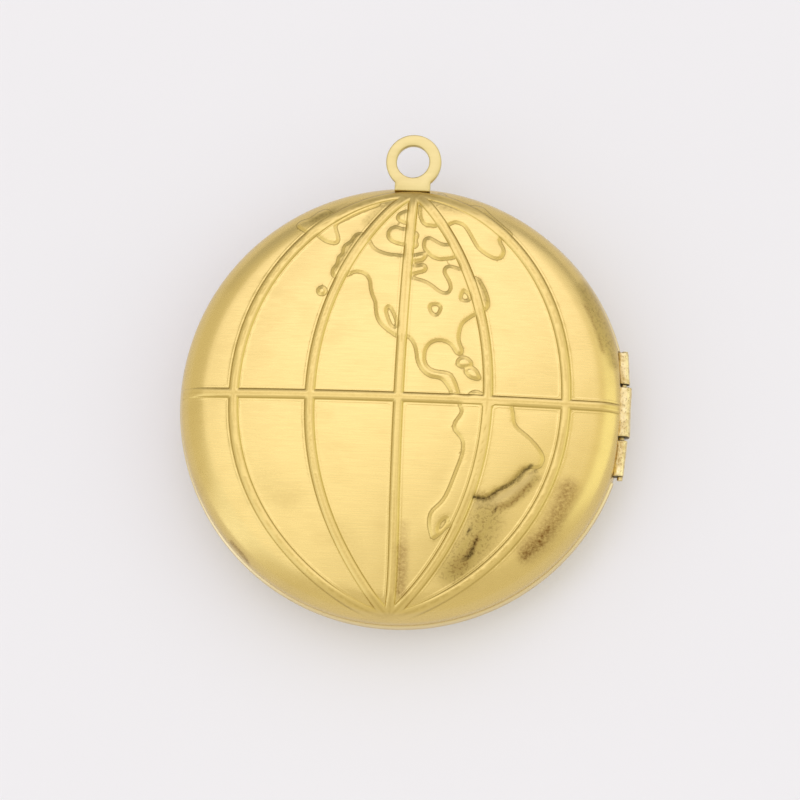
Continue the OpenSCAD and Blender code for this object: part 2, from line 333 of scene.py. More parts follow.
# %% Sizes of the hinge, in mm
HINGE_X = 15.66  # from the middle of the case to the pin
HINGE_FLAT = 15.5  # and to the recess that holds the knuckles
RECESS_R = 30.0  # the recess is a wide arc
RECESS_Y = (-4.95, 4.7)
PIN_R = 0.2
MID_R, END_R = 0.58, 0.44  # outside radii of the middle knuckle and the end ones
LEAN = 0.18  # the end knuckles lean inwards by this much
TURN_GAP = 0.09  # room round what turns
MID_SPAN = (-1.66, 1.97)  # from end to end along Y
UP_SPAN = (2.18, 4.53)
LOW_SPAN = (-4.52, -1.88)

# %% [markdown]
# ## The section of a pressed cover
# A press tool stretches a flat disc over a punch. The length measured along the sheet, from
# the middle outwards, is the natural way to say where a point of the disc ends up, so the
# section is a function of that length.


# %% Section of a cover
class Section:
    """Half section of a dished cover, from its middle to the bottom of its skirt."""

    def __init__(self, rim_r, shoulder, height, crown, skirt_z):
        self.shoulder, self.height, self.crown = shoulder, height, crown
        self.inner_r = rim_r - shoulder
        self.turn = math.asin(self.inner_r / (crown - shoulder))
        self.edge_z = height - crown + (crown - shoulder) * math.cos(self.turn)
        self.crown_len = crown * self.turn
        self.shoulder_len = shoulder * (math.pi / 2 - self.turn)
        self.skirt_len = self.edge_z - skirt_z
        self.length = self.crown_len + self.shoulder_len + self.skirt_len

    def at(self, s):
        """Radius, height and slope of the sheet at a length s from the middle."""
        on_crown = s < self.crown_len
        slope = np.where(on_crown, s / self.crown, self.turn + (s - self.crown_len) / self.shoulder)
        slope = np.minimum(slope, math.pi / 2)
        r = np.where(on_crown, self.crown * np.sin(slope), self.inner_r + self.shoulder * np.sin(slope))
        z = np.where(on_crown, self.height - self.crown + self.crown * np.cos(slope),
                     self.edge_z + self.shoulder * np.cos(slope))
        z = z - np.maximum(s - self.crown_len - self.shoulder_len, 0)
        return r, z, slope

    def height_at(self, r):
        """Height of the outside above a plan radius r."""
        on_crown = r < self.crown * math.sin(self.turn)
        out = np.clip((r - self.inner_r) / self.shoulder, 0, 1)
        return np.where(on_crown, self.height - self.crown + np.sqrt(self.crown**2 - r**2),
                        self.edge_z + self.shoulder * np.sqrt(1 - out * out))


FRONT_R = CASE_R - LEDGE
front_outside = Section(FRONT_R, FRONT_SHOULDER - LEDGE, FRONT_H, CROWN_R, SEAM)
front_inside = Section(FRONT_R - SHEET, FRONT_SHOULDER - LEDGE - SHEET, FRONT_H - SHEET, CROWN_R - SHEET,
                       SEAM)
print(f"front cover: {front_outside.length:.2f} mm of sheet from the middle to the rim")

# %% [markdown]
# ## The raised lines
# The meridians close in towards the two poles and widen at the equator. Each is a curve with
# its own distance from the middle, and the middle one bows a little, as the real one does.

# %% Meridians and equator
LINE_LEVEL = 0.2  # level of a line above the sea in the engineering model
LAND_LEVEL = 0.12  # and of the land
RAISED_INSET = 0.1  # there, what is raised ends this far inside the case's side
POLE_Y = 15.3  # from the equator to a pole
LINES_Y = -0.17  # the pattern's equator, before the shift below
FULLNESS = 2.1  # how full a meridian is towards the poles
MIDDLE_X = 0.08  # the middle meridian at the equator
MIDDLE_BOW = 0.32  # it bows this far to the right at the poles
POLE_SLIP = (-0.32, -0.34)  # the south pole slipped left and outwards
MAP_SHIFT = (-0.18, 0.12)  # the die struck the map a little to the left of the middle
MAP_SCALE = 0.992
EQUATOR_Y = 0.01
EQUATOR_X = (-15.8, 15.7)
MERIDIANS = [  # distance from the middle, how it closes to the north, and to the south
    (-11.87, 0.56, 0.62),
    (-6.37, 0.80, 0.82),
    (0.0, 1.0, 1.0),
    (6.37, 0.85, 0.88),
    (11.95, 0.56, 0.66),
]


def meridian(distance, north, south, turn):
    """Point of a meridian, where turn runs from -90 degrees at the south pole to 90."""
    rise = math.sin(turn)
    close = south if rise < 0 else north
    out = distance * max(1 - abs(rise) ** FULLNESS, 0) ** close
    x, y = MIDDLE_X + MIDDLE_BOW * rise * rise + out, POLE_Y * rise + LINES_Y
    slip = rise**8 if rise < 0 else 0
    return (MAP_SCALE * x + MAP_SHIFT[0] + POLE_SLIP[0] * slip,
            MAP_SCALE * y + MAP_SHIFT[1] + POLE_SLIP[1] * slip)


def line_points(step=0.02):
    """Points close together along every raised line."""
    points = []
    count = int(2 * POLE_Y / step)
    for shape in MERIDIANS:
        points += [meridian(*shape, math.pi * (i / count - 0.5)) for i in range(count + 1)]
    count = int((EQUATOR_X[1] - EQUATOR_X[0]) / step)
    points += [(EQUATOR_X[0] + i * step, EQUATOR_Y) for i in range(count + 1)]
    return points


raised_points = line_points()
line_tree = kdtree.KDTree(len(raised_points))
for index, (x, y) in enumerate(raised_points):
    line_tree.insert((x, y, 0), index)
line_tree.balance()
print("points along the raised lines:", len(raised_points))

# %% [markdown]
# ## Reading the map off the engineering model
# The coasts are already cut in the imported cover. A comb of fine feelers, lowered on to it,
# tells land from sea at each place, so the picture and the part can't drift apart. The same
# comb notes how far each place is from the nearest raised line.

# %% Feel the cover
GRID_STEP = 0.04
GRID_HALF = 16.0
GRID_N = int(round(2 * GRID_HALF / GRID_STEP)) + 1
GRID_PLACES = np.linspace(-GRID_HALF, GRID_HALF, GRID_N)
GRID_X, GRID_Y = np.meshgrid(GRID_PLACES, GRID_PLACES)
FEEL_R = 15.8  # the feelers come down inside this radius
FEEL_FROM = 20.0  # from this height
STEEP_R = 15.2  # the shoulder is steep outside this radius
FAR = 9.0  # stands for far from any line
sea_section = Section(CASE_R, FRONT_SHOULDER, FRONT_H, CROWN_R, SEAM)
land_section = Section(CASE_R - RAISED_INSET, FRONT_SHOULDER, FRONT_H, CROWN_R, SEAM)


def feel_cover():
    """Two square grids: 1 on land, 0 at sea and -1 under a line, and the distance to a line."""
    tree = BVHTree.FromObject(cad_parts["front_cover"], bpy.context.evaluated_depsgraph_get())
    found = np.zeros((GRID_N, GRID_N))
    gap = np.full((GRID_N, GRID_N), FAR)
    down = Vector((0, 0, -1))
    for row, y in enumerate(GRID_PLACES):
        for column, x in enumerate(GRID_PLACES):
            if x * x + y * y > FEEL_R**2:
                continue
            hit = tree.ray_cast((x * MM, y * MM, FEEL_FROM * MM), down)[0]
            found[row, column] = hit.z / MM - PART_Z if hit else 0
            gap[row, column] = line_tree.find((x, y, 0))[2]
    r = np.hypot(GRID_X, GRID_Y)
    levels = [sea_section.height_at(r), land_section.height_at(r) + LAND_LEVEL,
              land_section.height_at(r) + LINE_LEVEL]
    level = np.argmin([np.abs(found - z) for z in levels], axis=0)
    inward = np.minimum(1, STEEP_R / np.maximum(r, 1))  # the steep rim takes its level from there
    row, column = [np.rint((inward * v + GRID_HALF) / GRID_STEP).astype(int)
                   for v in (GRID_Y, GRID_X)]
    return np.choose(level[row, column], [0.0, 1.0, -1.0]), gap


map_level, line_gap = feel_cover()
print(f"land covers {100 * np.mean(map_level == 1) / (math.pi / 4):.0f} % of the cover")

# %% [markdown]
# A press can't make a sheer cliff in sheet brass: the coast is a short, even slope. The land
# is first softened by a bell curve, which then gives the distance from the coast. Under a
# line the comb felt nothing, so a wider bell fills in the land there from both of its sides.

# %% Soften the coasts
COAST_SOFT = 0.085  # width of the bell, in mm
WIDE_SOFT = 3 * COAST_SOFT
DOME_SOFT = 0.3  # width of the bell that domes the land up
TRUST = 4  # the narrow bell counts fully where it saw at least a quarter of the place
LOGISTIC = 1.702  # a logistic curve this much steeper follows the sum of a bell


def blur(grid, width):
    """Softens a grid with a bell of this width in mm."""
    weight = np.exp(-2 * (np.pi * width * np.fft.fftfreq(GRID_N, GRID_STEP)) ** 2)
    return np.fft.ifft2(np.fft.fft2(grid) * weight[:, None] * weight).real


def soften_land():
    """The land from 0 to 1, filled in under the lines from both of their sides."""
    seen = (map_level >= 0).astype(float)
    land = (map_level == 1).astype(float)
    near = blur(land, COAST_SOFT) / np.maximum(blur(seen, COAST_SOFT), 0.02)
    wide = blur(land, WIDE_SOFT) / np.maximum(blur(seen, WIDE_SOFT), 1e-3)
    trust = np.clip(blur(seen, COAST_SOFT) * TRUST, 0, 1)
    return np.clip(near * trust + wide * (1 - trust), 0, 1)


land_grid = soften_land()
inland = np.clip(land_grid, 0.01, 0.99)
coast_grid = COAST_SOFT / LOGISTIC * np.log(inland / (1 - inland))  # distance inland, in mm
dome_grid = blur(land_grid, DOME_SOFT)


def look_up(grid, x, y):
    """Value of a grid at plan places in mm, between its points."""
    across = np.clip((x + GRID_HALF) / GRID_STEP, 0, GRID_N - 1.001)
    along = np.clip((y + GRID_HALF) / GRID_STEP, 0, GRID_N - 1.001)
    column, row = across.astype(int), along.astype(int)
    u, v = across - column, along - row
    low = grid[row, column] * (1 - u) + grid[row, column + 1] * u
    high = grid[row + 1, column] * (1 - u) + grid[row + 1, column + 1] * u
    return low * (1 - v) + high * v


# %% [markdown]
# ## The shape of the relief
# A raised line is a low, round bead. The mesh holds its broad shape, and the brass material
# adds the crisp edge and the fine lip along its foot, where the die bit into the sheet.
# Between the lines the sheet is drawn up a little, as a pillow is between its seams. The
# equator runs from the rim on the left, where it is lower, to the hinge recess.

# %% Height of the relief at any place
LINE_H = 0.085  # height of a bead above the sea, without its crisp edge
LAND_H = 0.11  # height of the land
BEAD_TOP, BEAD_FOOT = 0.13, 0.40  # the bead slopes between these distances from its middle
COAST_HALF = 0.16  # half of the width of the slope at a coast
COAST_IN = 0.06  # the middle of the slope lies this far inland
DOME = 0.3  # share of the land's height that domes up softly
BEAD_HIDES = 1.5  # how soon a bead hides the slope of the coast beside it
UNDER_BEAD = 0.5  # share of the land's height that a bead takes up
PILLOW_H = 0.05  # rise of the sheet between the lines
PILLOW_REACH = 2.0  # most of the rise is reached this far from a line
PILLOW_SOFT = 0.35  # width of the bell that rounds the pillow
PILLOW_ENDS = (12.0, 15.0)  # it fades out between these radii
RELIEF_ENDS = (STEEP_R, 15.75)  # and all other relief between these
NEAR_EQUATOR = 1.0  # in a strip this close to the equator, its ends run on past them
STRIP_X = 14.0  # beyond this distance from the middle
WEST_LOW = (-15.9, -12.4)  # the west end sinks between these places
WEST_SHARE = 0.35  # to this share of its height
WEST_END = (15.6, 15.9)  # and fades out between these distances


def smooth_step(a, b, v):
    """0 below a, 1 above b, and a soft curve between them."""
    t = np.clip((v - a) / (b - a), 0, 1)
    return t * t * (3 - 2 * t)


pillow_grid = blur(1 - np.exp(-np.minimum(line_gap, 2 * PILLOW_REACH) / PILLOW_REACH), PILLOW_SOFT)


def from_line(x, y):
    """Distance from the nearest bead's middle, and what is left here of beads and of all relief."""
    strip = np.abs(y) < NEAR_EQUATOR
    full = np.where(strip, smooth_step(*WEST_LOW, x), 1)
    gone = np.where((x > STRIP_X) & strip, 0, smooth_step(*RELIEF_ENDS, np.hypot(x, y)))
    gone = np.where((x < -STRIP_X) & strip, smooth_step(*WEST_END, -x), gone)
    return look_up(line_gap, x, y), (WEST_SHARE + (1 - WEST_SHARE) * full) * (1 - gone), 1 - gone


def relief(x, y):
    """Height of the relief above the smooth cover, in mm."""
    away, strength, fade = from_line(x, y)
    slope = np.clip(0.5 + (look_up(coast_grid, x, y) - COAST_IN) / COAST_HALF / 2, 0, 1)
    soft = look_up(dome_grid, x, y)
    bead = (1 - smooth_step(BEAD_TOP, BEAD_FOOT, away)) * strength
    share = DOME + (1 - DOME) * np.clip(bead * BEAD_HIDES, 0, 1)
    land = (1 - share) * slope + share * soft
    pillow = PILLOW_H * look_up(pillow_grid, x, y) * (1 - smooth_step(*PILLOW_ENDS, np.hypot(x, y)))
    height = LAND_H * land * (1 - UNDER_BEAD * bead) + LINE_H * bead
    return height * fade + pillow


# %% [markdown]
# ## The front cover as a mesh
# The sheet starts as a round blank. Its mesh is a square grid bent into rings, which has no
# crowded middle as a fan of wedges would. Only where the relief is steep is the grid cut finer,
# twice over, and the rest stays coarse.

# %% A round blank of rings
RINGS = (52, 12, 2)  # rings on the crown, the shoulder and the skirt, about 0.27 mm apart


def round_blank(rings):
    """Places in the plane and faces of a disc whose ring k has 8 k points."""
    n = len(rings) - 1
    i, j = np.meshgrid(np.arange(-n, n + 1), np.arange(-n, n + 1), indexing="ij")
    wide = np.abs(i) >= np.abs(j)
    main = np.where(wide, i, j).astype(float)
    other = np.where(wide, j, i).astype(float)
    turn = np.pi / 4 * other / np.where(main == 0, 1, main)
    turn = np.where(wide, turn, np.pi / 2 - turn)
    length = np.array(rings)[np.abs(main).astype(int)] * np.sign(main)
    places = np.stack([length * np.cos(turn), length * np.sin(turn)], axis=-1).reshape(-1, 2)
    size = 2 * n + 1
    corner = (np.arange(2 * n)[:, None] * size + np.arange(2 * n)).ravel()
    faces = np.stack([corner, corner + size, corner + size + 1, corner + 1], axis=1)
    return places, faces


def ring_lengths(section, rings):
    """Lengths along the sheet of the rings, with one just where the crown meets the shoulder."""
    lengths, start = [0.0], 0.0
    for part, count in zip((section.crown_len, section.shoulder_len, section.skirt_len), rings):
        lengths += [start + part * (k + 1) / count for k in range(count)]
        start += part
    return lengths


def blank_mesh(section, rings):
    """The flat blank as a bmesh, in mm."""
    places, faces = round_blank(ring_lengths(section, rings))
    blank = bmesh.new()
    points = [blank.verts.new((x, y, 0)) for x, y in places]
    for face in faces:
        blank.faces.new([points[k] for k in face])
    return blank


# %% Cut the blank finer where the relief is steep
def plan_places(section, places):
    """Plan position of points of the flat blank once it is pressed."""
    s = np.hypot(places[:, 0], places[:, 1])
    r, z, slope = section.at(s)
    around = places / np.maximum(s, 1e-9)[:, None]
    return around * r[:, None], z, slope, around


def refine(blank, section, steep, limit, spread):
    """Halves every edge of the faces that lie on steep relief."""
    busy = blur(np.clip(steep, 0, 1.5), spread)
    middles = np.array([face.calc_center_median()[:2] for face in blank.faces])
    plan = plan_places(section, middles)[0]
    chosen = look_up(busy, plan[:, 0], plan[:, 1]) > limit
    blank.faces.ensure_lookup_table()
    edges = {edge for face, yes in zip(blank.faces, chosen) if yes for edge in face.edges
             if not edge.is_boundary}
    bmesh.ops.subdivide_edges(blank, edges=list(edges), cuts=1, use_grid_fill=True)


steep_grid = np.hypot(*np.gradient(relief(GRID_X, GRID_Y), GRID_STEP))
outside_blank = blank_mesh(front_outside, RINGS)
refine(outside_blank, front_outside, steep_grid, limit=0.08, spread=0.1)
refine(outside_blank, front_outside, steep_grid, limit=0.20, spread=0.05)
print("faces of the front blank:", len(outside_blank.faces))


# %% [markdown]
# ## Pressing the blank
# Each point of the blank moves to its place on the section, and then along the surface's own
# normal by the height of the relief. Inside, the sheet shows the same relief from behind,
# softer, because the metal is pressed and not cast.

# %% Press the outside and the inside
HINGE_WALL = 0.62  # the wall behind the hinge is thicker than the sheet
WALL_HALF = 6.4  # half of its length
SHARP = 50  # edges over this angle stay sharp
INSIDE_SHARE = 0.8  # share of the relief that shows inside


def recess_at(y, inset=0.0):
    """How far out the recess at the hinge is."""
    return HINGE_FLAT - RECESS_R + np.sqrt((RECESS_R - inset) ** 2 - y**2)


def clear_of_hinge(points):
    """Moves the points of an inside skin off the wall behind the hinge."""
    limit = recess_at(points[:, 1], HINGE_WALL)
    chosen = (points[:, 0] > limit) & (np.abs(points[:, 1]) < WALL_HALF)
    points[chosen, 0] = limit[chosen]


def press(section, blank, share=1.0):
    """Points of the blank, pressed with this share of the relief, in mm above the parting line."""
    places = np.array([v.co[:2] for v in blank.verts])
    plan, z, slope, around = plan_places(section, places)
    height = relief(plan[:, 0], plan[:, 1]) * share
    return np.column_stack([plan + around * (np.sin(slope) * height)[:, None],
                            z + np.cos(slope) * height])


def rim_order(blank):
    """Indices of the blank's rim points, in order round the rim."""
    blank.verts.index_update()
    rim = [v for v in blank.verts if v.is_boundary]
    rim.sort(key=lambda v: math.atan2(v.co.y, v.co.x))
    return [v.index for v in rim]


def closed_shell(outside, inside, outer_blank, inner_blank, chamfer=0.08):
    """Joins the two skins of a cover with a chamfered edge. Returns points and faces."""
    outer_rim, inner_rim = rim_order(outer_blank), rim_order(inner_blank)
    start = len(outside)
    edge = outside[outer_rim]
    around = edge[:, :2] / np.linalg.norm(edge[:, :2], axis=1)[:, None]
    edge[:, :2] -= around * chamfer
    lifted = outside.copy()
    lifted[outer_rim, 2] += chamfer
    points = np.vstack([lifted, inside, edge])
    faces = [[v.index for v in f.verts] for f in outer_blank.faces]
    faces += [[start + v.index for v in f.verts][::-1] for f in inner_blank.faces]
    edge_start = start + len(inside)
    count = len(outer_rim)
    for k in range(count):
        after = (k + 1) % count
        faces.append([outer_rim[after], outer_rim[k], edge_start + k, edge_start + after])
        faces.append([edge_start + after, edge_start + k, start + inner_rim[k], start + inner_rim[after]])
    return points, faces


def new_piece(name, points, faces, material, body, slot, sharp=SHARP):
    """A mesh object from points in mm, smooth but for its sharp edges, riding on a body."""
    piece = from_points(name, points, faces)
    mesh = piece.data
    mesh.validate()
    mesh.shade_smooth()
    mesh.set_sharp_from_angle(angle=math.radians(sharp))
    mesh.materials.append(material)
    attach(piece, body)
    return piece


# %% Build the front cover's skins
outside_points = press(front_outside, outside_blank)
inside_blank = blank_mesh(front_inside, RINGS)
inside_points = press(front_inside, inside_blank, INSIDE_SHARE)
clear_of_hinge(inside_points)
front_points, front_faces = closed_shell(outside_points, inside_points, outside_blank, inside_blank)
front_points[:, 2] += PART_Z
print("front cover points:", len(front_points))


# %% [markdown]
# ## Room for the hinge
# At the hinge both rims are filed to a shallow recess, a wide arc. The front cover is notched
# too, so that the end knuckles can turn in it. Cutting a solid with other solids is the surest
# way to get such clean edges.

# %% Cut a piece with cutters


def prism(low, high):
    """Points and faces of the solid between two outlines with as many points."""
    n = len(low)
    sides = [(n + k, n + (k + 1) % n, (k + 1) % n, k) for k in range(n)]
    return [*low, *high], [*sides, tuple(range(n)), tuple(reversed(range(n, 2 * n)))]


def bar(radii, y0, y1, sides=48):
    """A round bar along the hinge, with its radius at both ends."""
    turns = [2 * math.pi * k / sides for k in range(sides)]
    return prism(*([(HINGE_X + r * math.cos(a), y, PART_Z + r * math.sin(a)) for a in turns]
                   for r, y in zip(radii, (y0, y1))))


def block(low, high):
    """A box from corner to corner."""
    outline = ((low[0], low[1]), (low[0], high[1]), (high[0], high[1]), (high[0], low[1]))
    return prism(*([(x, y, z) for x, y in outline] for z in (low[2], high[2])))


def cut(piece, solids):
    """Takes the solids, given as points in mm and faces, out of a piece."""
    tools = [from_points("cutter", *solid) for solid in solids]
    for tool in tools:
        step = piece.modifiers.new("cut", "BOOLEAN")
        step.operation, step.solver, step.object = "DIFFERENCE", "MANIFOLD", tool
    done = bpy.data.meshes.new_from_object(piece.evaluated_get(bpy.context.evaluated_depsgraph_get()))
    piece.modifiers.clear()
    piece.data = done
    for tool in tools:
        bpy.data.meshes.remove(tool.data)
    done.set_sharp_from_angle(angle=math.radians(SHARP))


def recess(steps=40, outwards=8, half_height=6):
    """The solid outside the recess, which reaches well past the case."""
    (low, high), end = RECESS_Y, HINGE_FLAT + outwards
    arc = [low + (high - low) * k / steps for k in range(steps + 1)]
    outline = [(recess_at(y), y) for y in arc] + [(end, high), (end, low)]
    return prism(*([(x, y, PART_Z + rise) for x, y in outline] for rise in (-half_height, half_height)))


hinge_side = recess()
NOTCH = (END_R + TURN_GAP, END_R + TURN_GAP + LEAN)  # wider where the end knuckles lean
UP_GAP, LOW_GAP = 0.12, 0.3  # room past the outer ends of the hinge
front_notches = [bar(NOTCH, UP_SPAN[0] - TURN_GAP, UP_SPAN[1] + UP_GAP),
                 bar(NOTCH[::-1], LOW_SPAN[0] - LOW_GAP, LOW_SPAN[1] + TURN_GAP)]
front = new_piece("front_shell", front_points, front_faces, front_brass, "front", "front_brass")
cut(front, [hinge_side] + front_notches)
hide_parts("front_cover")
print("front cover faces after cutting:", len(front.data.polygons))

# %% [markdown]
# ## Where the brass is creased and stained, and where shade is painted on it
# Age shows in known places: grime stays in the creases beside the lines and at the feet of the
# coasts, where shade is painted as well, and there are brown, olive and pale stains low on the
# right. A few olive and brown strokes are painted shade beside the lines and a painted dark
# reflection on the upper right shoulder. Each place is written into the mesh as an amount from
# 0 to 1, or as a distance in mm, which the material reads.

# %% Stains and painted shade of the front cover, in mm
# Each stain or patch of painted shade is a stroke: places along it, half of its width, and how strong it
# is.
BROWN_STAINS_AND_SHADE = [
    ([(5.7, -6.8), (6.7, -6.85), (7.9, -5.95), (9.0, -4.75)], 0.22, 0.35),
    ([(7.1, -7.75), (7.6, -7.45), (8.0, -7.4), (8.5, -6.95), (8.9, -6.45), (9.4, -5.9)], 0.22, 0.6),
    ([(12.2, -6.0), (11.7, -7.3), (11.2, -8.5), (10.5, -9.6), (9.5, -10.6)], 0.75, 0.65),
    ([(11.0, -8.9), (10.3, -9.9), (9.3, -10.9)], 0.45, 0.95),
    ([(5.95, -9.8), (5.6, -10.7), (5.1, -11.3)], 0.22, 0.6),
    ([(5.0, -11.5), (4.7, -11.9)], 0.55, 0.4),
    ([(-11.7, -10.45), (-10.9, -11.25), (-10.3, -11.9)], 0.09, 0.7),
    ([(0.75, -9.2), (0.7, -11.0)], 0.40, 0.30),
    ([(0.65, -10.8), (0.7, -12.4), (0.65, -13.8)], 0.45, 0.62),
    # painted shade: the crisp inner edge of the painted dark reflection on the upper right shoulder
    ([(12.75, 7.35), (13.4, 6.0), (13.85, 4.9), (14.3, 3.9)], 0.09, 0.55),
]
DARK_STAINS = [
    ([(5.6, -7.0), (6.3, -7.05)], 0.15, 0.9),
    ([(5.6, -7.0), (6.1, -7.05), (6.6, -7.0), (7.05, -6.6), (7.55, -6.25), (8.1, -5.95), (8.5, -5.6),
      (8.85, -5.1), (9.3, -4.75), (9.5, -4.55)], 0.14, 0.75),
    ([(9.3, -5.1), (9.9, -4.85)], 0.07, 0.8),
    ([(7.15, -7.75), (6.95, -8.1)], 0.08, 0.8),
    ([(5.5, -9.1), (5.15, -9.65)], 0.09, 0.9),
    ([(5.9, -9.9), (5.65, -10.5)], 0.10, 0.9),
    ([(5.6, -10.75), (5.45, -11.15)], 0.18, 1.0),
    ([(5.45, -11.2), (5.05, -11.35)], 0.12, 0.9),
]
OLIVE_STAINS_AND_SHADE = [
    ([(6.5, -8.4), (6.0, -9.9), (5.1, -11.3), (4.5, -12.2)], 1.25, 0.9),
    ([(7.1, -7.9), (8.2, -7.3), (9.15, -6.4), (9.9, -5.4)], 0.32, 0.8),
    # painted dark reflection on the upper right shoulder, in this stroke and the next
    ([(12.7, 8.8), (13.5, 7.3), (14.1, 6.0), (14.5, 4.7)], 0.60, 0.6),
    ([(14.5, 4.6), (15.0, 3.2)], 0.35, 0.6),
    ([(-6.9, 12.9), (-5.6, 13.4)], 0.35, 0.7),
    ([(-3.6, -9.8), (-2.8, -11.6)], 1.0, 0.12),
    ([(2.4, 14.3), (3.6, 14.2)], 0.5, 0.5),
    ([(-9.3, -6.2), (-7.4, -7.6)], 1.2, 0.12),
    # painted shade on sloping land and beside a meridian, in this stroke and the next two
    ([(-4.9, 9.3), (-4.55, 10.05), (-4.1, 10.95), (-3.65, 11.7)], 0.24, 0.55),
    ([(-3.1, 12.85), (-2.45, 13.65), (-1.75, 14.4)], 0.34, 0.55),
    ([(5.25, 8.7), (5.55, 8.05), (5.75, 7.2)], 0.22, 0.5),
]
PALE_STAINS = [
    ([(5.8, -7.55), (6.7, -7.4), (7.5, -6.9), (8.25, -6.4), (9.0, -5.8), (9.5, -5.3)], 0.32, 1.0),
]

# %% Write the marks into the mesh
SKIN_DEPTH = 0.15  # deeper than this is not marked
STROKE_EDGE = 3  # how crisp the edge of a stroke is
AT_SEA = -0.3  # stands for far from any coast


def stain_amount(stains, x, y):
    """Strongest of the strokes at plan places."""
    amount = np.zeros(len(x))
    for stroke, half, strength in stains:
        away = np.full(len(x), np.inf)
        for (x0, y0), (x1, y1) in zip(stroke, stroke[1:]):
            long = math.hypot(x1 - x0, y1 - y0)
            share = np.clip(((x - x0) * (x1 - x0) + (y - y0) * (y1 - y0)) / long**2, 0, 1)
            away = np.minimum(away, np.hypot(x - x0 - share * (x1 - x0), y - y0 - share * (y1 - y0)))
        amount = np.maximum(amount, strength * np.exp(-((away / half) ** STROKE_EDGE)))
    return amount


def write_amount(piece, name, values):
    """Stores a value for each point of a mesh under a name."""
    layer = piece.data.attributes.new(name, "FLOAT", "POINT")
    layer.data.foreach_set("value", np.asarray(values, np.float32))


def mark_front(piece):
    """Distance from the lines, land, stains and painted shade on the outer skin of the front cover."""
    places = np.array([v.co for v in piece.data.vertices]) / MM
    x, y, z = places.T
    r = np.hypot(x, y)
    skin = (z - PART_Z > front_outside.height_at(r) - SKIN_DEPTH) | (r > FRONT_R - SKIN_DEPTH)
    away, strength, _ = from_line(x, y)
    write_amount(piece, "from_line", np.where(skin, away, FAR))
    write_amount(piece, "struck", strength)
    write_amount(piece, "from_coast", np.where(skin, look_up(coast_grid, x, y), AT_SEA))
    for name, stains in (("brown", BROWN_STAINS_AND_SHADE), ("dark", DARK_STAINS), ("olive", OLIVE_STAINS_AND_SHADE),
                         ("pale", PALE_STAINS)):
        write_amount(piece, name, stain_amount(stains, x, y) * skin)


mark_front(front)
print("marked points of the front cover:", len(front.data.vertices))

# %% [markdown]
# ## The bail
# The bail is a flat ring with a short neck, stamped from thicker sheet and soldered to the
# shoulder of the front cover. Its section is a small rectangle with rounded edges, swept round
# the hole, and the sweep reaches out to the neck where the ring has one.

# %% Bail
BAIL_R, BAIL_HOLE_R = 1.98, 1.17
BAIL_HOLE_X = -0.05  # the hole was punched a little off the middle
BAIL_Y = 17.62
BAIL_Z = (PART_Z + 1.5, PART_Z + 2.0)  # underside and top
BAIL_NECK = 1.27  # half of its width
BAIL_FOOT_Y = 15.44
EDGE_ROUND = 0.09


def bail_outline(angle):
    """Point of the bail's outline in a direction from the hole's middle."""
    c, s = math.cos(angle), math.sin(angle)
    reach = BAIL_R
    if s < 0:
        drop = (BAIL_Y - BAIL_FOOT_Y) / -s
        reach = min(drop, max(BAIL_R, BAIL_NECK / max(abs(c), 1e-6)))
    return (reach * c, BAIL_Y + reach * s)


def bail_section(steps=4):
    """Round the rectangle: whether the point is on the outer side, its inset and its height."""
    low, high = BAIL_Z
    turns = [math.pi / 2 * k / steps for k in range(steps + 1)]
    rise = [(EDGE_ROUND * (1 - math.cos(a)), EDGE_ROUND * (1 - math.sin(a))) for a in turns]
    corners = ((True, high, -1, 1), (False, high, -1, -1), (False, low, 1, 1), (True, low, 1, -1))
    return [(outer, inset, z + way * drop) for outer, z, way, order in corners
            for inset, drop in rise[::order]]


def sweep_faces(around, count, closed=True):
    """Faces between the stations of a sweep whose section has count points."""
    faces = []
    for k in range(around if closed else around - 1):
        for m in range(count):
            a, b = k * count + m, k * count + (m + 1) % count
            c = ((k + 1) % around) * count
            faces.append((a, c + m, c + (m + 1) % count, b))
    return faces


def make_bail(around=192):
    """The bail as a closed sweep."""
    points, section = [], bail_section()
    for k in range(around):
        angle = 2 * math.pi * k / around
        inner = Vector((BAIL_HOLE_R * math.cos(angle), BAIL_HOLE_R * math.sin(angle)))
        inner += Vector((BAIL_HOLE_X, BAIL_Y))
        outer = Vector(bail_outline(angle))
        out = (outer - inner).normalized()
        for is_outer, inset, z in section:
            place = outer - out * inset if is_outer else inner + out * inset
            points.append((place.x, place.y, z))
    return new_piece("bail_ring", points, sweep_faces(around, len(section)), bail_brass, "front",
                     "front_brass", sharp=60)


bail = make_bail()
print("bail faces:", len(bail.data.polygons))

# %% [markdown]
# ## The knuckles
# Each knuckle is a strip of brass rolled round the pin. Rolling and soldering leave it lumpy
# and pitted. It is turned from its section here, a tube with rounded ends, and then battered
# with soft noise that stays the same at each run.

# %% Knuckles
PIN_GAP = 0.03  # room round the pin in the middle knuckle
KNUCKLE_ROUND = 0.1  # rounding of a knuckle's ends
THINNER = 0.02  # the outer ends are thinner by this much
SQUARENESS = 3  # rolled a little square, where 2 is round
DENTS = ((0.045, 1.3), (0.03, 4.0))  # broad and small: share of the radius, and how fine
DENT_ALONG = 1.2  # they are closer together along the pin
KNUCKLE_STEP = 0.06  # between the rings of its mesh


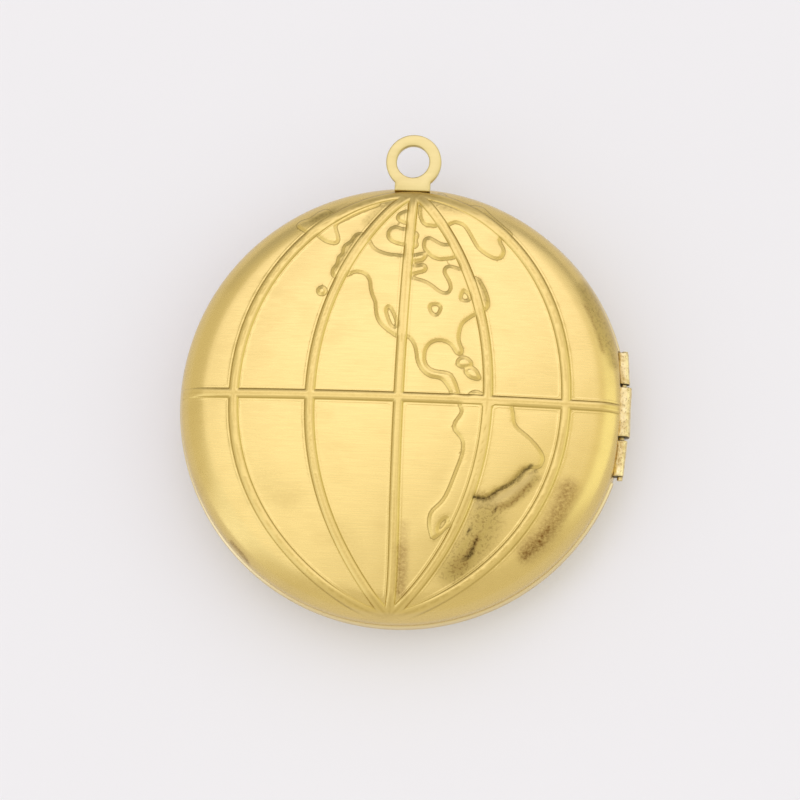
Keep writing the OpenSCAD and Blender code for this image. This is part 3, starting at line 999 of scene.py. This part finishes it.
def make_knuckle(name, radii, lean, span, bore, body, slot, sides=72):
    """A battered tube round the pin. radii and lean are its radius and offset at both ends."""
    (y0, y1), soft = span, KNUCKLE_ROUND
    steps, bend = int((y1 - y0) / KNUCKLE_STEP), 0.3 * soft
    outline = [(y0, None), (y0, -soft), (y0 + bend, -bend)]
    outline += [(y0 + soft + (y1 - y0 - 2 * soft) * k / steps, 0) for k in range(steps + 1)]
    outline += [(y1 - bend, -bend), (y1, -soft), (y1, None)]
    points = []
    for k in range(sides):
        angle = 2 * math.pi * k / sides
        c, s = math.cos(angle), math.sin(angle)
        square = (abs(c) ** SQUARENESS + abs(s) ** SQUARENESS) ** (-1 / SQUARENESS)
        for y, inset in outline:
            if inset is None:
                points.append((HINGE_X + bore * c, y, PART_Z + bore * s))
                continue
            share = (y - y0) / (y1 - y0)
            r = radii[0] + (radii[1] - radii[0]) * share + inset
            place = Vector((c, y * DENT_ALONG, s))
            r *= square * (1 + sum(depth * noise.noise(place * fine) for depth, fine in DENTS))
            shift = lean[0] + (lean[1] - lean[0]) * share
            points.append((HINGE_X - shift + r * c, y, PART_Z + r * s))
    faces = [face[::-1] for face in sweep_faces(sides, len(outline))]
    return new_piece(name, points, faces, hinge_brass, body, slot, sharp=45)


for knuckle in (
        ("knuckle_middle", (MID_R, MID_R), (0, 0), MID_SPAN, PIN_R + PIN_GAP, "front", "front_brass"),
        ("knuckle_upper", (END_R, END_R - THINNER), (0, LEAN), UP_SPAN, PIN_R, "back", "back_brass"),
        ("knuckle_lower", (END_R - THINNER, END_R), (LEAN, 0), LOW_SPAN, PIN_R, "back", "back_brass")):
    print(knuckle[0], "faces:", len(make_knuckle(*knuckle).data.polygons))


# %% Lugs that carry the end knuckles
LUG_ROUND = 0.08  # rounding of a lug, and how far it stops short of its knuckle's ends
LUG_Z = (PART_Z - END_R + 0.1, PART_Z - 0.06)
LUG_END_X = HINGE_X - 0.05


def make_lug(name, span):
    """The solder and strip that join an end knuckle to the recess of the back cover."""
    low = (HINGE_FLAT - HINGE_WALL, span[0] + LUG_ROUND, LUG_Z[0])
    high = (LUG_END_X, span[1] - LUG_ROUND, LUG_Z[1])
    lug = new_piece(name, *block(low, high), hinge_brass, "back", "back_brass", sharp=80)
    soften = lug.modifiers.new("round", "BEVEL")
    soften.width, soften.segments = LUG_ROUND * MM, 3
    print(name, "length:", round(high[1] - low[1], 2), "mm")


make_lug("lug_upper", UP_SPAN)
make_lug("lug_lower", LOW_SPAN)

# %% [markdown]
# ## The back cover
# The back is the same dish without a map, and its edge stands out a little beyond the front
# one as a ledge, painted pale for the sheen of its glancing reflection. In the middle it is
# pressed flat, so that the closed locket lies level. A thin ring stands up inside the rim, and
# the front cover snaps over it.

# %% Back cover
BACK_SAG = CROWN_R - math.sqrt(CROWN_R**2 - BACK_FLAT_R**2)
BACK_RINGS = (30, 14, 2)
MID_NOTCH_R = MID_R + 0.12  # of the room for the middle knuckle
LEDGE_SHEEN_R = (CASE_R - 0.35, CASE_R - 0.2)  # the pale sheen is painted on the edge from here to here outwards
LEDGE_SHEEN_UP = (-0.35, -0.15)  # and upwards to the parting line


def back_skin(inset):
    """Points in mm of a skin of the back cover, drawn face up as a front cover, and its blank."""
    section = Section(CASE_R - inset, BACK_SHOULDER - inset, BACK_H + BACK_SAG - inset, CROWN_R - inset,
                      SEAM)
    blank = blank_mesh(section, BACK_RINGS)
    points = press(section, blank, share=0)
    points[:, 2] = np.minimum(points[:, 2], BACK_H - inset)
    if inset:
        clear_of_hinge(points)
    return points, blank


def make_back():
    """The back cover, turned face down and cut for the hinge."""
    (outside, outer_blank), (inside, inner_blank) = back_skin(0), back_skin(SHEET)
    points, faces = closed_shell(outside, inside, outer_blank, inner_blank)
    points = points * (1, 1, -1) + (0, 0, PART_Z)
    piece = new_piece("back_shell", points, [face[::-1] for face in faces], back_brass, "back",
                      "back_brass")
    cut(piece, [hinge_side, bar((MID_NOTCH_R, MID_NOTCH_R), MID_SPAN[0] - TURN_GAP,
                                MID_SPAN[1] + TURN_GAP)])
    x, y, z = (np.array([v.co for v in piece.data.vertices]) / MM).T
    # amount of painted pale sheen on the edge
    edge = smooth_step(*LEDGE_SHEEN_R, np.hypot(x, y)) * smooth_step(*LEDGE_SHEEN_UP, z - PART_Z)
    write_amount(piece, "ledge_sheen", edge)
    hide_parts("back_cover")
    return piece


print("back cover faces:", len(make_back().data.polygons))

# %% Snap rim
SNAP_R = (15.24, 15.56)
SNAP_Z = (PART_Z - 1.1, PART_Z + 0.5)
SNAP_GAP = 6.6  # half of the gap that it leaves for the hinge
SNAP_OPEN = math.asin(SNAP_GAP / np.mean(SNAP_R))  # the same as an angle
SNAP_FOOT = 0.1  # its foot is wider, to be soldered
SNAP_FOOT_Z = (PART_Z - 0.25, PART_Z - 0.15)


def make_snap_rim(steps=260, lean=0.06):
    """The open ring inside the back cover's edge."""
    (inner, outer), (low, high), (foot_z, neck_z) = SNAP_R, SNAP_Z, SNAP_FOOT_Z
    foot = outer + SNAP_FOOT
    section = [(inner, low), (foot, low), (foot, foot_z), (outer, neck_z), (outer, high - lean),
               (outer - lean, high), (inner + lean, high), (inner, high - lean)]
    points = []
    for k in range(steps + 1):
        angle = SNAP_OPEN + (2 * math.pi - 2 * SNAP_OPEN) * k / steps
        points += [(r * math.cos(angle), r * math.sin(angle), z) for r, z in section]
    count = len(section)
    faces = sweep_faces(steps + 1, count, closed=False)
    faces += [tuple(range(count)), tuple(reversed(range(steps * count, (steps + 1) * count)))]
    return new_piece("snap_rim", points, faces, back_brass, "back", "back_brass", sharp=40)


print("snap rim faces:", len(make_snap_rim().data.polygons))

# %% Hinge pin
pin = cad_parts["hinge_pin"]
pin.data.materials.clear()
pin.data.materials.append(pin_brass)
print("hinge pin:", pin_brass.name)

# %% [markdown]
# ## Table, light and camera
# The locket lies on a plain white board in a pale room with large lit screens, and one weak
# softbox gives the soft shadow. Brushed metal shows a blurred picture of what it faces, so the
# place, colour and soft edges of each screen set which parts of the cover are bright. The
# board glows faintly, as a thin white one does when light comes through it from below.

# %% Table


def make_table(half=600):
    """A plain white board under the locket. half is half of its width in mm."""
    corners = [(-half, -half, 0), (half, -half, 0), (half, half, 0), (-half, half, 0)]
    table = from_points("table_top", corners, [(0, 1, 2, 3)])
    table.data.materials.append(table_white)
    print("table:", 2 * half, "mm across")


make_table()

# %% Light
LOCKET_MIDDLE = Vector((0, 0, PART_Z * MM))
SOFTBOX_FROM = Vector((-0.12, 0.30, 0.95)).normalized()  # direction of the softbox


def overhead_softbox(size, height, radiance):
    """A square softbox over the locket, a little to the north. Its radiance is in front of it."""
    light = bpy.data.lights.new("overhead_softbox", "AREA")
    light.shape, light.size = "SQUARE", size
    light.energy = radiance * math.pi * size * size
    lamp = in_scene("overhead_softbox", light)
    lamp.location = LOCKET_MIDDLE + SOFTBOX_FROM * height
    lamp.rotation_euler = SOFTBOX_FROM.to_track_quat("Z", "Y").to_euler()
    print("softbox:", round(light.energy, 4), "W")


overhead_softbox(size=0.16, height=0.45, radiance=0.12)

# %% Pale room around the table
WALLS = (0.87, 0.83, 0.72, 1)  # radiance of the walls
NORTH_WALL = (0.60, 0.59, 0.60, 1)
OVERHEAD = (1.50, 1.50, 1.58, 1)  # and of the lit screens
OVERHEAD_NORTH = (1.64, 1.62, 1.92, 1)
NORTH_EAST = (1.10, 1.08, 1.12, 1)
STRIP = (1.46, 1.52, 1.70, 1)
FILL = (1.09, 1.04, 0.86, 1)
RIGHT = (1.36, 1.40, 1.22, 1)
TILT = math.radians(40)  # across leans this far from north to the west


def make_room():
    """Pale walls and lit screens with soft edges, placed east, north and across both."""
    world = bpy.data.worlds.new("studio")
    bpy.context.scene.world = world
    world.use_nodes = True
    tree = world.node_tree
    place = add(tree, "TexCoord").outputs["Generated"]
    east, north, _ = add(tree, "SeparateXYZ", Vector=place).outputs
    across = add(tree, "VectorMath", {"operation": "DOT_PRODUCT"}, in0=place,
                 in1=(-math.sin(TILT), math.cos(TILT), 0)).outputs["Value"]
    seen = lay(tree, WALLS, NORTH_WALL, (north, 0.5, 0.8))
    seen = lay(tree, seen, FILL, (east, 0.05, 0.25), (north, -0.14, 0.0), (north, 0.50, 0.36))
    seen = lay(tree, seen, RIGHT, (east, 0.50, 0.78), (north, -0.38, -0.22), (north, 0.48, 0.36))
    seen = lay(tree, seen, STRIP, (across, -0.02, 0.12), (across, 0.42, 0.28), (east, -0.28, -0.42))
    seen = lay(tree, seen, NORTH_EAST, (east, -0.02, 0.12), (east, 0.66, 0.46),
               (north, 0.40, 0.52), (north, 0.86, 0.74))
    overhead = lay(tree, OVERHEAD, OVERHEAD_NORTH, (north, 0.05, 0.38))
    seen = lay(tree, seen, overhead, (east, -0.47, -0.31), (across, -0.02, 0.10),
               (east, 0.38, 0.14), (across, 0.66, 0.44))
    join(tree, tree.nodes["Background"], Color=seen)
    print("room nodes:", len(tree.nodes))


make_room()

# %% Camera
CAMERA_EAST, CAMERA_SOUTH = math.radians(4.3), math.radians(12.1)  # lean of the view
CAMERA_ROLL = math.radians(2.93)
CAMERA_DISTANCE = 0.45
PX_PER_MM = 14.015  # scale of the photograph at the locket's middle
FRAME_PX = 800
FILM_WIDTH = 36  # of the camera's sensor, in mm
MIDDLE_PX = (403.18, 407.62)  # where the locket's middle lies in the photograph


def make_camera():
    """The camera above the table at the photograph's angle."""
    back = Vector((math.sin(CAMERA_EAST), -math.sin(CAMERA_SOUTH), 0))
    back.z = math.sqrt(1 - back.length_squared)
    north = (Vector((0, 1, 0)) - back * back.y).normalized()
    east = north.cross(back)
    right = east * math.cos(CAMERA_ROLL) + north * math.sin(CAMERA_ROLL)
    up = north * math.cos(CAMERA_ROLL) - east * math.sin(CAMERA_ROLL)
    data = bpy.data.cameras.new("camera")
    data.sensor_width = FILM_WIDTH
    data.lens = FILM_WIDTH * PX_PER_MM * CAMERA_DISTANCE / MM / FRAME_PX
    data.shift_x = (FRAME_PX / 2 - MIDDLE_PX[0]) / FRAME_PX
    data.shift_y = (MIDDLE_PX[1] - FRAME_PX / 2) / FRAME_PX
    camera = in_scene("camera", data)
    turn = Matrix((right, up, back)).transposed().to_4x4()
    camera.matrix_world = Matrix.Translation(LOCKET_MIDDLE + back * CAMERA_DISTANCE) @ turn
    bpy.context.scene.camera = camera
    return camera


print("lens:", round(make_camera().data.lens, 1), "mm")
bpy.context.scene.view_settings.view_transform = "Standard"

# %% Bring the scene up to date
bpy.context.view_layer.update()
